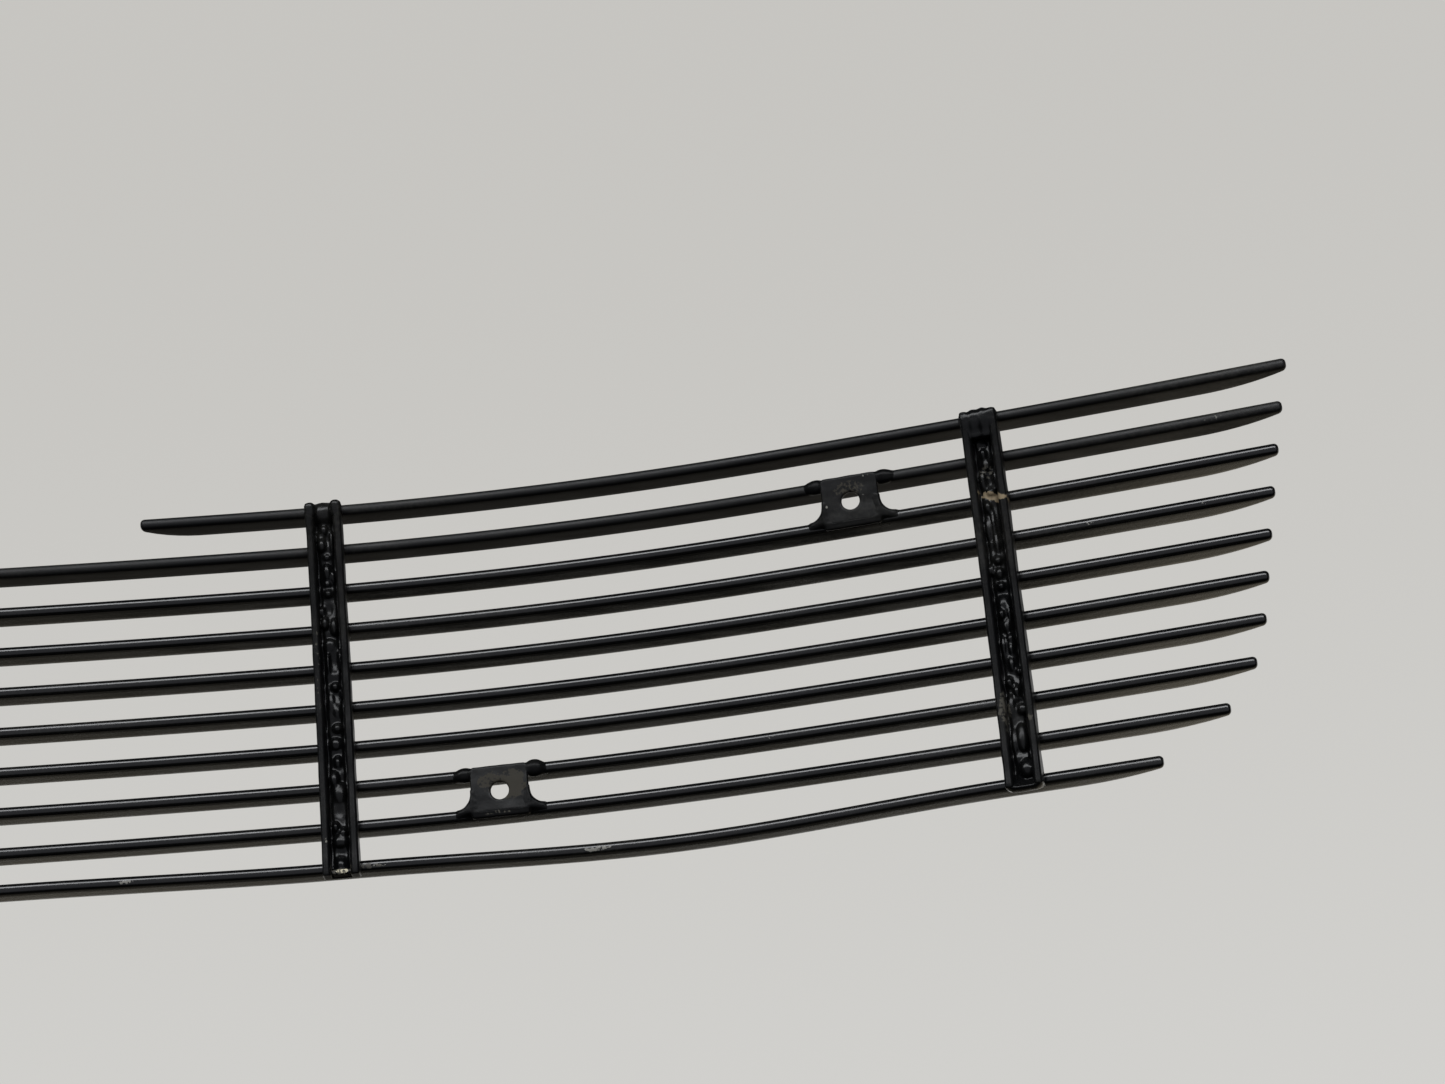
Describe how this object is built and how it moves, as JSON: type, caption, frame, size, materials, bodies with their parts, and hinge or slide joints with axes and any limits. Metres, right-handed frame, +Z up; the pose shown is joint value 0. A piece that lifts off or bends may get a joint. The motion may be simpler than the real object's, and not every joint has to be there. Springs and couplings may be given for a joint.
{
  "type": "front grille guard",
  "caption": "Black vehicle grille insert: level rounded bars bowed in plan, joined at the back by upright welded channels, with small bolt tabs.",
  "frame": {"origin": "middle of the bounding box in X and Y, at the height of the lowest point", "axes": "+X along the bars, -Y out of the front of the grille, +Z up"},
  "size_m": [0.9818, 0.125, 0.1515],
  "materials": {
    "bar_coat": "satin gloss black powder coat",
    "channel_coat": "satin gloss black powder coat",
    "tab_coat": "satin black powder coat, dusty",
    "weld_coat": "gloss black powder coat over rippled weld metal"
  },
  "bodies": {
    "root": {"top_bar_left": "bar_coat", "top_bar_right": "bar_coat", "bar_row_02": "bar_coat", "bar_row_03": "bar_coat", "bar_row_04": "bar_coat", "bar_row_05": "bar_coat", "bar_row_06": "bar_coat", "bar_row_07": "bar_coat", "bar_row_08": "bar_coat", "bar_row_09": "bar_coat", "bar_row_10": "bar_coat", "channel_inner_left": "channel_coat", "channel_outer_left": "channel_coat", "channel_inner_right": "channel_coat", "channel_outer_right": "channel_coat", "tab_lower_inner_left": "tab_coat", "tab_upper_outer_left": "tab_coat", "tab_lower_inner_right": "tab_coat", "tab_upper_outer_right": "tab_coat", "channel_welds_inner_left": "weld_coat", "channel_welds_outer_left": "weld_coat", "channel_welds_inner_right": "weld_coat", "channel_welds_outer_right": "weld_coat", "tab_welds_lower_inner_left": "weld_coat", "tab_welds_upper_outer_left": "weld_coat", "tab_welds_lower_inner_right": "weld_coat", "tab_welds_upper_outer_right": "weld_coat"}
  },
  "joints": []
}
